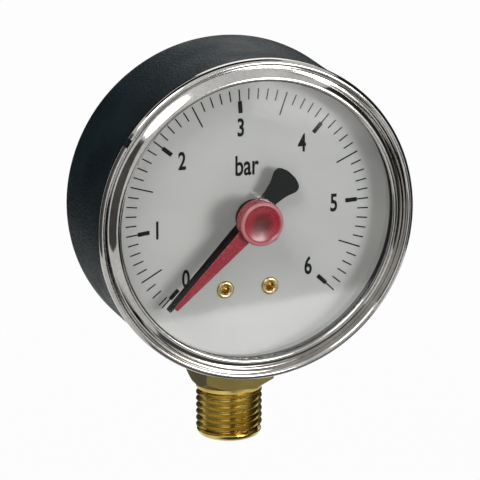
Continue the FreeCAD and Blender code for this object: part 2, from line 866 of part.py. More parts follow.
# Sector: hub, spokes, toothed rim and the tail that the link pulls.
def make_sector():
    back = -S.sector_depth
    front = back + S.sector_thickness
    root = wheel_pitch - S.gear_module * 1.2
    tip = wheel_pitch + S.gear_module * 0.85
    step = 360 / SIZES["wheel_teeth"]
    first = SIZES["sector_first_tooth"]
    count = int(SIZES["sector_teeth"])
    span = step * count
    start = first - step / 2
    rim = doc.addObject("Part::Cylinder", "Rim")
    bind(rim, "Radius", root)
    bind(rim, "Height", S.sector_thickness)
    rim.Angle = span
    place(rim, ZERO, arbor_y, back, start)
    hollow = doc.addObject("Part::Cylinder", "Hollow")
    bind(hollow, "Radius", root - S.sector_rim)
    bind(hollow, "Height", S.sector_thickness + 2)
    hollow.Angle = span + 20
    place(hollow, ZERO, arbor_y, back - 1, start - 10)
    arc = cut(rim, hollow)
    parts = [arc, rod(S.sector_hub_radius, back, front, ZERO, arbor_y)]
    half = S.sector_spoke / 2
    reach = root - S.sector_rim / 2
    for angle in (start + 5, start + span - 5):
        spoke = flat(
            "Spoke",
            turned_points([(0, -half), (reach, -half), (reach, half), (0, half)], Size(angle),
                          ZERO, arbor_y),
            back,
            S.sector_thickness,
        )
        parts.append(spoke)
    tail_half = S.tail_width / 2
    parts.append(
        flat(
            "Tail",
            turned_points(
                [(0, -tail_half), (S.tail_radius, -tail_half), (S.tail_radius, tail_half),
                 (0, tail_half)],
                S.tail_angle,
                ZERO,
                arbor_y,
            ),
            back,
            S.sector_thickness,
        )
    )
    tail_x, tail_y = tail_point()
    parts.append(rod(tail_half, back, front, tail_x, tail_y))
    for k in range(count):
        parts.append(
            tooth(root - 0.1, tip, S.gear_module * 1.72, S.gear_module * 0.8,
                  back, front, first + step * k, ZERO, arbor_y)
        )
    holes = [
        rod(S.arbor_radius + S.pin_fit, back - 1, front + 1, ZERO, arbor_y),
        rod(S.sector_pin_radius + S.pin_fit, back - 1, front + 1, tail_x, tail_y),
    ]
    node("sector_gear", cut(fuse(*parts), *holes))
    node(
        "sector_arbor",
        fuse(
            rod(S.arbor_radius, back_plate_front + S.end_play, front_plate_back - S.end_play,
                ZERO, arbor_y),
            rod(S.journal_radius, back_plate_back + S.end_play, front_plate_front,
                ZERO, arbor_y),
        ),
    )
    pin_back = link_front() - S.link_thickness - 0.35
    rod_node("sector_pin", S.sector_pin_radius, pin_back, front + 0.2, tail_x, tail_y)


# Spindle: the pinion's shaft, which runs in both plates and carries the pointer.
def make_spindle():
    root = pinion_pitch - S.gear_module * 1.25
    tip = pinion_pitch + S.gear_module * 0.8
    back = -S.pinion_depth
    front = back + S.pinion_length
    parts = [
        rod(S.journal_radius, back_plate_back + S.end_play, back, ZERO, ZERO),
        rod(S.spindle_radius, back_plate_front + S.end_play, S.spindle_front),
        rod(root, back, front),
    ]
    count = int(SIZES["pinion_teeth"])
    for k in range(count):
        parts.append(
            tooth(root - 0.15, tip, S.gear_module * 1.9, S.gear_module * 0.62,
                  back, front, 360 / count * k)
        )
    node("pointer_spindle", fuse(*parts))


def spiral_strip(inner, outer, turns, strip, start, height):
    """A flat spiral strip between two radii, one face of which lies at start."""
    steps = 24 * int(turns)

    def side(shift):
        points = []
        for i in range(steps + 1):
            share = i / steps
            angle = 2 * math.pi * turns * share
            radius = inner + (outer - inner) * share + shift
            points.append(
                FreeCAD.Vector(radius * math.cos(angle), radius * math.sin(angle), start)
            )
        curve = Part.BSplineCurve()
        curve.interpolate(points)
        return curve.toShape()

    near, far = side(-strip / 2), side(strip / 2)
    caps = [
        Part.makeLine(near.firstVertex().Point, far.firstVertex().Point),
        Part.makeLine(near.lastVertex().Point, far.lastVertex().Point),
    ]
    ring = Part.Wire(Part.__sortEdges__([near, far] + caps))
    return Part.Face(ring).extrude(FreeCAD.Vector(0, 0, height))


# Hairspring: takes up the play of the gears, from the collet out to the stud.
def make_hairspring():
    back = -S.collet_depth
    hole = S.spindle_radius + S.spindle_fit
    ring = rod(S.collet_radius, back, back + S.collet_length)
    node("hairspring_collet", cut(ring, rod(hole, back - 1, back + S.collet_length + 1)))
    strip = SIZES["hairspring_strip"]
    start = (back + (S.collet_length - S.hairspring_height) / 2).value
    inner = SIZES["collet_radius"] + strip
    spring = doc.addObject("Part::Feature", "Hairspring")
    spring.Shape = spiral_strip(
        inner,
        SIZES["hairspring_radius"],
        SIZES["hairspring_turns"],
        strip,
        start,
        SIZES["hairspring_height"],
    )
    node("hairspring", spring)
    x = S.hairspring_radius + S.stud_radius + S.hairspring_strip
    rod_node("hairspring_stud", S.stud_radius, back + 0.2, front_plate_back, x, ZERO)


def pillar_places():
    x, high, low = S.pillar_x, S.pillar_high_y, S.pillar_low_y
    return both_sides(x, high) + both_sides(x, low)


def plate_outline():
    """A broad foot, a waist beside the link and a head around the spindle."""
    wide, top, bottom = S.plate_half_width, S.plate_top, S.plate_bottom
    return [
        (-wide, bottom),
        (wide, bottom),
        (wide, bottom + 5.5),
        (S.plate_waist, bottom + 9),
        (S.plate_waist, top - 7),
        (wide, top - 4.5),
        (wide, top),
        (-wide, top),
        (-wide, top - 4.5),
        (-S.plate_waist, top - 7),
        (-S.plate_waist, bottom + 9),
        (-wide, bottom + 5.5),
    ]


# Movement plates, pillars and screws.
def make_movement_frame():
    shaft_hole = S.spindle_radius + S.journal_fit
    journal_hole = S.journal_radius + S.journal_fit
    spigot_hole = S.spigot_radius + S.screw_fit
    pillars = pillar_places()
    corners = [c for c in plate_outline() if abs(c[0].value) > SIZES["plate_waist"] + 0.1]

    back_holes = [(ZERO, ZERO, journal_hole), (ZERO, arbor_y, journal_hole)]
    back_holes += [(x, y, spigot_hole) for x, y in pillars]
    grip = S.movement_screw_radius + S.screw_fit
    back_holes += [
        (x, y, grip) for x, y in both_sides(S.movement_screw_x, S.movement_screw_y)
    ]
    back = flat("Back", plate_outline(), back_plate_back, S.back_plate_thickness, back_holes)
    rounded(back, 0.8, upright_at(corners))
    node("back_plate", back)

    front_holes = [(ZERO, ZERO, shaft_hole), (ZERO, arbor_y, journal_hole)]
    front_holes += [(x, y, spigot_hole) for x, y in pillars]
    rivet_hole = S.rivet_shank_radius + S.screw_fit
    front_holes += [(x, y, rivet_hole) for x, y in both_sides(S.rivet_x, S.rivet_y)]
    front = flat("Front", plate_outline(), front_plate_back, S.plate_thickness, front_holes)
    rounded(front, 0.8, upright_at(corners))
    node("front_plate", front)

    posts = []
    screws = []
    bore = S.spigot_radius * 0.6
    for x, y in pillars:
        post = fuse(
            rod(S.pillar_radius, back_plate_front, front_plate_back, x, y),
            rod(S.spigot_radius, back_plate_back, back_plate_front, x, y),
        )
        bore_end = front_plate_back - 2.5
        posts.append(cut(post, rod(bore + S.screw_fit, bore_end, front_plate_back + 1, x, y)))
        screws.append(
            fuse(
                rod(S.pillar_radius, front_plate_front,
                    front_plate_front + S.screw_head_height, x, y),
                rod(bore, bore_end + 0.3, front_plate_front, x, y),
            )
        )
    node("plate_pillars", fuse(*posts))
    slot_half = Size(0.2)
    slotted = []
    for screw, (x, y) in zip(screws, pillars):
        top = front_plate_front + S.screw_head_height
        slot = block(
            (x - S.pillar_radius - 0.2, y - slot_half, top - 0.35),
            (x + S.pillar_radius + 0.2, y + slot_half, top + 1),
        )
        slotted.append(cut(screw, slot))
    node("plate_screws", fuse(*slotted))


def slotted_screw(x, y, seat, head_radius, head_height, shank_radius, grip):
    """A cheese-head screw that points to -Z, with its head on seat."""
    top = seat + head_height
    body = fuse(
        rod(head_radius, seat, top, x, y),
        rod(shank_radius, seat - grip, seat, x, y),
    )
    slot = block(
        (x - head_radius - 0.2, y - 0.25, top - 0.4),
        (x + head_radius + 0.2, y + 0.25, top + 1),
    )
    return cut(body, slot)


def make_screws():
    holding = []
    for x, y in both_sides(S.movement_screw_x, S.movement_screw_y):
        holding.append(
            slotted_screw(
                x, y, back_plate_front, S.movement_screw_head, S.screw_head_height,
                S.movement_screw_radius, S.back_plate_thickness + S.movement_screw_grip,
            )
        )
    node("movement_screws", fuse(*holding))
    rear = []
    for x, y in both_sides(S.case_screw_x, S.case_screw_y):
        screw = fuse(
            cone(S.case_screw_head, S.case_screw_radius, case_back,
                 case_back + S.case_screw_head_height, x, y),
            rod(S.case_screw_radius, case_back, block_back_face + S.case_screw_grip, x, y),
        )
        slot = block(
            (x - S.case_screw_head, y - 0.35, case_back - 1),
            (x + S.case_screw_head, y + 0.35, case_back + 0.6),
        )
        rear.append(cut(screw, slot))
    node("case_screws", fuse(*rear))


# Pointer: a thin blackened blade with a broad tail, pressed on a capped bush.
def make_pointer():
    tip = S.pointer_tip_width / 2
    root = S.pointer_hub_width / 2
    neck = S.pointer_neck_width / 2
    wide = S.pointer_tail_width / 2
    points = [
        (S.pointer_length, tip),
        (0, root),
        (-S.pointer_neck, neck),
        (-S.pointer_tail * 0.66, neck + 0.55),
        (-S.pointer_tail * 0.84, wide),
        (-S.pointer_tail * 0.94, wide - 0.3),
        (-S.pointer_tail, wide * 0.35),
        (-S.pointer_tail, -wide * 0.35),
        (-S.pointer_tail * 0.94, -(wide - 0.3)),
        (-S.pointer_tail * 0.84, -wide),
        (-S.pointer_tail * 0.66, -(neck + 0.55)),
        (-S.pointer_neck, -neck),
        (0, -root),
        (S.pointer_length, -tip),
    ]
    hole = S.pointer_bush_radius + S.spindle_fit
    blade = flat(
        "Blade",
        turned_points(points, S.pointer_angle),
        S.pointer_depth,
        S.pointer_thickness,
        [(ZERO, ZERO, hole)],
    )
    node("pointer", blade)
    cap_back = S.pointer_depth + S.pointer_thickness
    bush = fuse(
        rod(S.pointer_bush_radius, S.pointer_bush_depth, cap_back),
        rod(S.pointer_hub_radius, cap_back, cap_back + S.pointer_cap),
    )
    bore = S.spindle_radius + S.spindle_fit
    node("pointer_hub", cut(bush, rod(bore, S.pointer_bush_depth - 1, cap_back)))


# Marker hand: one moulded piece outside the window, on a pin that passes through it.
def make_marker():
    front = knob_back + S.knob_height
    knob = spun(
        "Knob",
        [
            (ZERO, knob_back),
            (S.knob_radius, knob_back),
            (S.knob_radius, front),
            (S.knob_dish_radius, front),
            (S.knob_dish_radius - 0.15, front - S.knob_dish_depth),
            (ZERO, front - S.knob_dish_depth),
        ],
    )
    rounded(knob, S.knob_round, circle_at(S.knob_radius, front))
    tip = S.marker_tip_width / 2
    root = S.marker_root_width / 2
    blade = flat(
        "MarkerBlade",
        turned_points(
            [(S.marker_length, tip), (0, root), (0, -root), (S.marker_length, -tip)],
            S.marker_angle,
        ),
        knob_back + S.marker_blade_lift,
        S.marker_blade,
    )
    bore_front = knob_back + S.marker_pin_depth + 0.05
    pocket = rod(S.marker_pin_radius + S.screw_fit, knob_back - 1, bore_front)
    node("marker_hand", cut(fuse(knob, blade), pocket))
    retainer_front = window_back - S.washer_thickness - S.retainer_gap
    retainer_back = retainer_front - S.retainer_thickness
    node(
        "marker_pin",
        fuse(
            rod(S.marker_pin_radius, S.window_front + 0.05, knob_back + S.marker_pin_depth),
            rod(S.marker_neck_radius, retainer_back - 0.03, knob_back + 1),
        ),
    )
    hole = S.marker_neck_radius + S.screw_fit
    washer = rod(S.washer_radius, retainer_front + 0.01, window_back - 0.02)
    node("friction_washer", cut(washer, rod(hole, retainer_front - 1, window_back + 1)))
    clip = rod(S.retainer_radius, retainer_back, retainer_front)
    node("marker_retainer", cut(clip, rod(hole, retainer_back - 1, retainer_front + 1)))


make_case()
make_bezel()
make_window_stack()
make_dial()
make_stem()
make_tube()
make_link()
make_sector()
make_spindle()
make_hairspring()
make_movement_frame()
make_screws()
make_pointer()
make_marker()
doc.recompute()

failed = [o.Label for o in doc.Objects if {"Invalid", "Error"} & set(o.State)]
if failed:
    raise RuntimeError(f"failed objects: {failed}")
for name, thing in nodes.items():
    if thing.Shape.isNull() or not thing.Shape.isValid() or not thing.Shape.Solids:
        raise RuntimeError(f"{name} has no valid shape")

os.makedirs("parts", exist_ok=True)
for name, thing in nodes.items():
    thing.Shape.exportStep(f"parts/{name}.step")
    box = thing.Shape.BoundBox
    print(
        f"{name:18} solids {len(thing.Shape.Solids)}  volume {thing.Shape.Volume:9.2f}  "
        f"x {box.XMin:7.2f} {box.XMax:7.2f}  y {box.YMin:7.2f} {box.YMax:7.2f}  "
        f"z {box.ZMin:7.2f} {box.ZMax:7.2f}"
    )
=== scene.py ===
# %% [markdown]
# # A 63 mm pressure gauge
# A pressure gauge is a deep black case, a plated ring that snaps into its mouth, a clear window,
# a printed dial and a small brass movement, all carried by one machined brass stem.
# The construction model gives every piece its true size and place. This notebook gives the
# pieces that show their fine shape, and every piece its material.

import json
import math

import bmesh
import bpy
from mathutils import Matrix, Vector


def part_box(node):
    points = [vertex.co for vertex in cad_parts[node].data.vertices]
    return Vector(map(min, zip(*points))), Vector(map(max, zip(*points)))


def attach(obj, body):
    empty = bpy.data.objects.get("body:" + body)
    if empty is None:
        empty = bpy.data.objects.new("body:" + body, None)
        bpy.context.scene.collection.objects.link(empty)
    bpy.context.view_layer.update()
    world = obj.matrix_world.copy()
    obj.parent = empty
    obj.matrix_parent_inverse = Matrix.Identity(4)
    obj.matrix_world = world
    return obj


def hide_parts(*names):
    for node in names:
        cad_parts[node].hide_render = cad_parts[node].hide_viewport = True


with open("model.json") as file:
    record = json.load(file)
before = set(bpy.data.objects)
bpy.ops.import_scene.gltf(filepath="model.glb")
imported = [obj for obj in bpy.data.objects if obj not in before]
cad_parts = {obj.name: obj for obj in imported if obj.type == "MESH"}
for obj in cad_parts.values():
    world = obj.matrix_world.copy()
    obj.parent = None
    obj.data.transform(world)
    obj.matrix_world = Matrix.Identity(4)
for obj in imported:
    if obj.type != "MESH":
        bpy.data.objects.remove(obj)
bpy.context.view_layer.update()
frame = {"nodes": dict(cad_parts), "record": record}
nodes = frame["nodes"]
slot_of = {s["node"]: s["material_slot"] for s in frame["record"]["subparts"]}
print("pieces from construction:", len(nodes))

# %% [markdown]
# ## Where things are
# Most of a gauge is turned about the pointer's axis, so it is easiest to model in the dial's
# own frame: X right, Y up, Z towards the viewer, in millimetres from the middle of the dial's
# face. One matrix stands such a piece up in its place, in metres. The dial's own box gives it.

# %% The dial's frame
MM = 0.001
dial_low, dial_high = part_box("dial")
FACE = float(dial_low[1])
AXIS = float(dial_low[2] + dial_high[2]) / 2
UPRIGHT = Matrix(((1, 0, 0, 0), (0, 0, -1, FACE), (0, 1, 0, AXIS), (0, 0, 0, 1)))
IN_DIAL = UPRIGHT @ Matrix.Scale(MM, 4)
ON_STEM = Matrix.Scale(MM, 4)
print(f"dial face at y = {FACE * 1000:.1f} mm, axis at z = {AXIS * 1000:.1f} mm")

# %% [markdown]
# ## Helpers for shape
# A turned piece is a half profile spun a full turn. Its sharp corners are then bevelled a
# little, because a real moulded or machined edge always has a small radius that catches light.


# %% Spin, soften, finish
def spin_profile(profile, closed=True, steps=192):
    bm = bmesh.new()
    verts = [bm.verts.new((r, 0, z)) for r, z in profile]
    pairs = list(zip(verts, verts[1:]))
    if closed:
        pairs.append((verts[-1], verts[0]))
    edges = [bm.edges.new(pair) for pair in pairs]
    bmesh.ops.spin(bm, geom=verts + edges, cent=(0, 0, 0), axis=(0, 0, 1), dvec=(0, 0, 0),
                   angle=math.tau, steps=steps, use_merge=True, use_duplicate=False)
    bmesh.ops.remove_doubles(bm, verts=bm.verts, dist=1e-4)
    bmesh.ops.recalc_face_normals(bm, faces=bm.faces)
    return bm


def soften(bm, width, chosen=None, segments=3, angle=25):
    def sharp(edge):
        return len(edge.link_faces) == 2 and edge.calc_face_angle(0) > math.radians(angle)

    edges = [e for e in bm.edges if sharp(e) and (chosen is None or chosen(e))]
    bmesh.ops.bevel(bm, geom=edges, offset=width, offset_type="OFFSET", affect="EDGES",
                    segments=segments, profile=0.5, material=-1, clamp_overlap=True)
    return bm


def plate(outline, back, thickness):
    """A flat piece: its outline as one face, extruded to its thickness."""
    bm = bmesh.new()
    face = bm.faces.new([bm.verts.new((x, y, back)) for x, y in outline])
    grown = bmesh.ops.extrude_face_region(bm, geom=[face])
    top = [v for v in grown["geom"] if isinstance(v, bmesh.types.BMVert)]
    bmesh.ops.translate(bm, verts=top, vec=(0, 0, thickness))
    bmesh.ops.recalc_face_normals(bm, faces=bm.faces)
    return bm


def merge(*parts):
    """Put several bmeshes into one."""
    whole = bmesh.new()
    for part in parts:
        carrier = bpy.data.meshes.new("carrier")
        part.to_mesh(carrier)
        part.free()
        whole.from_mesh(carrier)
        bpy.data.meshes.remove(carrier)
    return whole


def carve(bm, tool, operation="DIFFERENCE"):
    """A boolean of two bmeshes, done with the modifier and read back."""
    objects = []
    for part in (bm, tool):
        mesh = bpy.data.meshes.new("carve")
        part.to_mesh(mesh)
        part.free()
        thing = bpy.data.objects.new("carve", mesh)
        bpy.context.collection.objects.link(thing)
        objects.append(thing)
    cutter = objects[0].modifiers.new("carve", "BOOLEAN")
    cutter.operation = operation
    cutter.object = objects[1]
    cutter.solver = "EXACT"
    graph = bpy.context.evaluated_depsgraph_get()
    result = bmesh.new()
    result.from_mesh(bpy.data.meshes.new_from_object(objects[0].evaluated_get(graph)))
    for thing in objects:
        bpy.data.objects.remove(thing)
    return result


def finish_piece(name, bm, material, body, node=None, place=IN_DIAL, crease=32):
    bmesh.ops.remove_doubles(bm, verts=bm.verts, dist=1e-4)
    bm.transform(place)
    for face in bm.faces:
        face.smooth = True
    for edge in bm.edges:
        turn = edge.calc_face_angle(0) if len(edge.link_faces) == 2 else math.pi
        edge.smooth = turn < math.radians(crease)
    mesh = bpy.data.meshes.new(name)
    bm.to_mesh(mesh)
    bm.free()
    mesh.materials.append(material)
    piece = bpy.data.objects.new(name, mesh)
    bpy.context.collection.objects.link(piece)
    even = piece.modifiers.new("even_normals", "WEIGHTED_NORMAL")
    even.keep_sharp = True
    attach(piece, body)
    if node:
        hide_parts(node)
    print(f"{name}: {len(mesh.polygons)} faces")
    return piece


# %% [markdown]
# ## Helpers for materials
# Every finish here is the same idea at different sizes: a fine pattern varies the colour, the
# roughness and the height of the surface a little. The pattern's size is given in real
# millimetres, and Object coordinates keep it fixed to the piece.


# %% Colour and nodes
def linear(hex_colour):
    values = [int(hex_colour[i:i + 2], 16) / 255 for i in (1, 3, 5)]
    return tuple(v / 12.92 if v <= 0.04045 else ((v + 0.055) / 1.055) ** 2.4 for v in values) + (1,)


def add(tree, kind, settings=None, links=None):
    node = tree.nodes.new(kind)
    for key, value in (settings or {}).items():
        if isinstance(key, int) or key in node.inputs:
            node.inputs[key].default_value = value
        else:
            setattr(node, key, value)
    for key, source in (links or {}).items():
        tree.links.new(source, node.inputs[key])
    return node


def surface(name, light, dark, roughness, grain_mm, height_mm, stretch=(1, 1, 1), **fixed):
    """A finish with one pattern of the given grain that varies its colour, gloss and height."""
    material = bpy.data.materials.new(name)
    material.use_nodes = True
    tree = material.node_tree
    tree.nodes.clear()
    place = add(tree, "ShaderNodeTexCoord")
    mapped = add(tree, "ShaderNodeMapping", {"Scale": stretch}, {"Vector": place.outputs["Object"]})
    fine = add(tree, "ShaderNodeTexNoise", {"Scale": 1 / (grain_mm * MM), "Detail": 3},
               {"Vector": mapped.outputs[0]})
    broad = add(tree, "ShaderNodeTexNoise", {"Scale": 1 / (9 * MM), "Detail": 2},
                {"Vector": place.outputs["Object"]})
    both = add(tree, "ShaderNodeMath", {"operation": "MULTIPLY_ADD", 1: 0.6},
               {0: fine.outputs["Fac"], 2: broad.outputs["Fac"]})
    share = add(tree, "ShaderNodeMapRange", {"From Min": 0.6, "From Max": 1.0},
                {"Value": both.outputs[0]})
    colour = add(tree, "ShaderNodeMix", {"data_type": "RGBA"}, {0: share.outputs[0]})
    colour.inputs[6].default_value = linear(dark)
    colour.inputs[7].default_value = linear(light)
    gloss = add(tree, "ShaderNodeMapRange", {"To Min": roughness[0], "To Max": roughness[1]},
                {"Value": share.outputs[0]})
    bump = add(tree, "ShaderNodeBump", {"Strength": 1.0, "Distance": height_mm * MM},
               {"Height": fine.outputs["Fac"]})
    shader = add(tree, "ShaderNodeBsdfPrincipled", fixed,
                 {"Base Color": colour.outputs[2], "Roughness": gloss.outputs[0],
                  "Normal": bump.outputs[0]})
    add(tree, "ShaderNodeOutputMaterial", None, {"Surface": shader.outputs[0]})
    return material


# %% [markdown]
# ## The finishes
# The case is moulded ABS with a spark-eroded grain of about 0.35 mm, which gives soft speckled
# highlights. The ring is steel with a bright chrome plate. The stem is free-cutting brass,
# turned and milled, so its marks run round it. The movement is blanked and turned brass with
# bright steel shafts. The dial is aluminium under a matte warm white lacquer. The hand and its
# knob are one piece of tinted acrylic.

# %% Make the materials
M = {
    "case_plastic": surface("grained_black_abs", "#15252a", "#0f1b1f", (0.42, 0.58), 0.5, 0.16,
                            **{"Specular IOR Level": 0.12}),
    "bezel_chrome": surface("bright_chrome_plate", "#bab8b4", "#a5a3a0", (0.05, 0.12), 0.8, 0.0015,
                            Metallic=1.0),
    "black_rubber": surface("moulded_black_rubber", "#1d1d1d", "#121212", (0.6, 0.8), 0.2, 0.01),
    "spacer_plastic": surface("grey_styrene", "#b9b8b4", "#a5a4a1", (0.3, 0.45), 0.5, 0.004),
    "dial_paint": surface("matte_white_lacquer", "#c6c4c1", "#bfbdba", (0.5, 0.62), 0.25, 0.002),
    "stem_brass": surface("turned_brass_bar", "#dcc67a", "#b59b4e", (0.18, 0.3), 0.5, 0.006,
                          (0.15, 0.15, 3.0), Metallic=1.0),
    "turned_brass": surface("turned_brass_small", "#e6d3a4", "#c8ad76", (0.2, 0.32), 0.2, 0.002,
                            Metallic=1.0),
    "plate_brass": surface("blanked_brass_sheet", "#dab659", "#bd9443", (0.28, 0.42), 0.3, 0.003,
                           (4.0, 1.0, 0.4), Metallic=1.0),
    "tube_brass": surface("drawn_brass_tube", "#c79f4a", "#9c7733", (0.3, 0.45), 0.4, 0.003,
                          Metallic=1.0),
    "spring_bronze": surface("rolled_spring_bronze", "#cf9a5a", "#a8743c", (0.22, 0.34), 0.1, 0.001,
                             Metallic=1.0),
    "bright_steel": surface("bright_drawn_steel", "#c9cbcd", "#a4a7aa", (0.2, 0.32), 0.2, 0.002,
                            Metallic=1.0),
    "pointer_black": surface("matte_black_lacquer", "#171818", "#0c0d0d", (0.45, 0.6), 0.2, 0.002,
                             **{"Specular IOR Level": 0.2}),
    "dial_ink": surface("pad_printed_black_ink", "#141414", "#0c0c0c", (0.5, 0.65), 0.15, 0.001,
                        **{"Specular IOR Level": 0.15}),
    "marker_red": surface("tinted_red_acrylic", "#8c222e", "#821e2a", (0.22, 0.32), 0.6, 0.002,
                          **{"IOR": 1.49, "Specular IOR Level": 0.35, "Coat Weight": 0.2,
                             "Coat Roughness": 0.15,
                             "Subsurface Weight": 0.15, "Subsurface Scale": 0.001}),
}


# %% [markdown]
# The window is clear acrylic sheet. Light crosses a flat sheet almost straight, so the
# material lets it through and adds a mirror share: a twenty-fifth seen straight on, and more
# towards the edge of view, after Schlick's rule for acrylic.

# %% The window's material
def clear_sheet():
    material = bpy.data.materials.new("clear_acrylic_sheet")
    material.use_nodes = True
    tree = material.node_tree
    tree.nodes.clear()
    place = add(tree, "ShaderNodeTexCoord")
    haze = add(tree, "ShaderNodeTexNoise", {"Scale": 1 / (12 * MM), "Detail": 3},
               {"Vector": place.outputs["Object"]})
    rough = add(tree, "ShaderNodeMapRange", {"To Min": 0.01, "To Max": 0.06},
                {"Value": haze.outputs["Fac"]})
    through = add(tree, "ShaderNodeBsdfTransparent", {"Color": linear("#fbfcfc")})
    mirror = add(tree, "ShaderNodeBsdfAnisotropic", {"Color": (1, 1, 1, 1)},
                 {"Roughness": rough.outputs[0]})
    facing = add(tree, "ShaderNodeLayerWeight", {"Blend": 0.5})
    steep = add(tree, "ShaderNodeMath", {"operation": "POWER", 1: 5.0},
                {0: facing.outputs["Facing"]})
    fresnel = add(tree, "ShaderNodeMapRange", {"To Min": 0.04, "To Max": 1.0},
                  {"Value": steep.outputs[0]})
    both = add(tree, "ShaderNodeMixShader", None,
               {0: fresnel.outputs[0], 1: through.outputs[0], 2: mirror.outputs[0]})
    add(tree, "ShaderNodeOutputMaterial", None, {"Surface": both.outputs[0]})
    return material


M["window_clear"] = clear_sheet()

# %% [markdown]
# Two finishes carry painted light and shade across their piece. The brass pin stands in a blind
# hole of the red knob, so painted shade darkens the tinted plastic within the pin's radius of the
# pointer's axis, and a painted highlight makes its thin raised rim paler. The stem's square is
# milled and left dull, and painted shade darkens its brass, while the thread below it is freshly
# cut. Both are tints laid over part of a piece, chosen by place on Object coordinates.


# %% Paint light and shade over part of a finish
def shader_of(material):
    return next(n for n in material.node_tree.nodes if n.type == "BSDF_PRINCIPLED")


# Lays a painted tone of shade or highlight over the part of a piece that the share picks.
def tint_where(material, share, tint):
    tree = material.node_tree
    shader = shader_of(material)
    tinted = add(tree, "ShaderNodeMix", {"data_type": "RGBA"},
                 {0: share, 6: shader.inputs["Base Color"].links[0].from_socket})
    tinted.inputs[7].default_value = linear(tint)
    tree.links.new(tinted.outputs[2], shader.inputs["Base Color"])


def band(tree, value, start, end, low, high):
    """A share that runs from low to high as the value goes from start to end, in metres."""
    return add(tree, "ShaderNodeMapRange", {"From Min": start, "From Max": end,
                                            "To Min": low, "To Max": high},
               {"Value": value}).outputs[0]


# %% Paint shade on the knob over its pin hole and a highlight on its rim
tree = M["marker_red"].node_tree
place = next(n for n in tree.nodes if n.type == "TEX_COORD")
centred = add(tree, "ShaderNodeMapping", {"Location": (0, 0, -AXIS)},
              {"Vector": place.outputs["Object"]})
across = add(tree, "ShaderNodeVectorMath", {"operation": "MULTIPLY", 1: (1, 0, 1)},
             {0: centred.outputs[0]})
radius = add(tree, "ShaderNodeVectorMath", {"operation": "LENGTH"},
             {0: across.outputs[0]}).outputs["Value"]
# Painted shade: the red plastic is darkened within the pin's radius, where the pin's blind hole
# lies in shade.
tint_where(M["marker_red"], band(tree, radius, 1.3 * MM, 2.6 * MM, 0.85, 0.0), "#4a1211")
# Painted highlight: the thin raised rim is made paler pink.
rim_highlight_share = add(tree, "ShaderNodeMath", {"operation": "MULTIPLY"},
          {0: band(tree, radius, 3.5 * MM, 3.85 * MM, 0.0, 0.55),
           1: band(tree, radius, 4.3 * MM, 4.41 * MM, 1.0, 0.0)})
tint_where(M["marker_red"], rim_highlight_share.outputs[0], "#cf9094")

# %% Paint shade on the milled square and dull it
tree = M["stem_brass"].node_tree
place = next(n for n in tree.nodes if n.type == "TEX_COORD")
height = add(tree, "ShaderNodeSeparateXYZ", None, {0: place.outputs["Object"]}).outputs["Z"]
# Painted shade: the square's brass is darkened towards olive; its rougher gloss below is real.
tint_where(M["stem_brass"], band(tree, height, -0.2 * MM, 0.1 * MM, 0.0, 0.85), "#5e5330")
milled = band(tree, height, -0.2 * MM, 0.1 * MM, 0.0, 0.5)
shader = shader_of(M["stem_brass"])
dull = add(tree, "ShaderNodeMath", {"operation": "MAXIMUM"},
           {0: shader.inputs["Roughness"].links[0].from_socket, 1: milled})
tree.links.new(dull.outputs[0], shader.inputs["Roughness"])

# %% Give each carried-over node its finish
for name, node in nodes.items():
    node.data.materials.clear()
    node.data.materials.append(M[slot_of[name]])
print("materials:", len(M))

# %% [markdown]
# ## Case
# A deep cup with a generous radius round its back, moulded in one shot. Its half profile is
# spun, the back corner gets the large radius and the others a small one, and the stem's
# opening and the two screw seats are cut out with booleans, as they are cored in the mould.


# %% Model the case
def box(low, high):
    bm = bmesh.new()
    bmesh.ops.create_cube(bm, size=1)
    size = Vector(high) - Vector(low)
    bmesh.ops.scale(bm, verts=bm.verts, vec=size)
    bmesh.ops.translate(bm, verts=bm.verts, vec=(Vector(high) + Vector(low)) / 2)
    return bm


def bar(radius, back, front, x=0, y=0, end_radius=None, steps=48):
    bm = bmesh.new()
    bmesh.ops.create_cone(bm, cap_ends=True, segments=steps, radius1=radius,
                          radius2=radius if end_radius is None else end_radius,
                          depth=front - back)
    bmesh.ops.translate(bm, verts=bm.verts, vec=(x, y, (front + back) / 2))
    return bm


CASE_RADIUS, CASE_BACK, CASE_RIM = 31.7, -19.5, 5.0
MOUTH_RADIUS, BORE_RADIUS, CASE_STEP, CASE_FLOOR = 30.0, 29.2, -0.5, -17.7
CASE_SCREW_X, CASE_SCREW_Y = 4.2, -13.6
case_profile = [(0, CASE_BACK), (CASE_RADIUS, CASE_BACK), (CASE_RADIUS, CASE_RIM),
                (MOUTH_RADIUS, CASE_RIM), (MOUTH_RADIUS, CASE_STEP), (BORE_RADIUS, CASE_STEP),
                (BORE_RADIUS, CASE_FLOOR), (0, CASE_FLOOR)]
shell = spin_profile(case_profile, closed=False)


def at_ring(radius, depth):
    def chosen(edge):
        return all(abs(math.hypot(v.co.x, v.co.y) - radius) < 0.01 and abs(v.co.z - depth) < 0.01
                   for v in edge.verts)
    return chosen


soften(shell, 3.0, at_ring(CASE_RADIUS, CASE_BACK), segments=10)
soften(shell, 0.35, at_ring(CASE_RADIUS, CASE_RIM))
shell = carve(shell, box((-7.15, -33, CASE_FLOOR), (7.15, -25, -4.35)))
for x in (-CASE_SCREW_X, CASE_SCREW_X):
    shell = carve(shell, bar(2.85, -19.6, -18.2, x, CASE_SCREW_Y, end_radius=1.6))
    shell = carve(shell, bar(1.6, -19, -17, x, CASE_SCREW_Y))
finish_piece("case_shell", shell, M["case_plastic"], "housing", "case")

# %% [markdown]
# ## Bezel
# A pressed and plated ring. Its section has a thin inner lip over the window, a crest, a slope
# down into a valley and a rolled outer bead. The bands of light and dark on it come only from
# this section, so its corners are drawn with care. A small notch in its edge lets a blade
# pry it off.

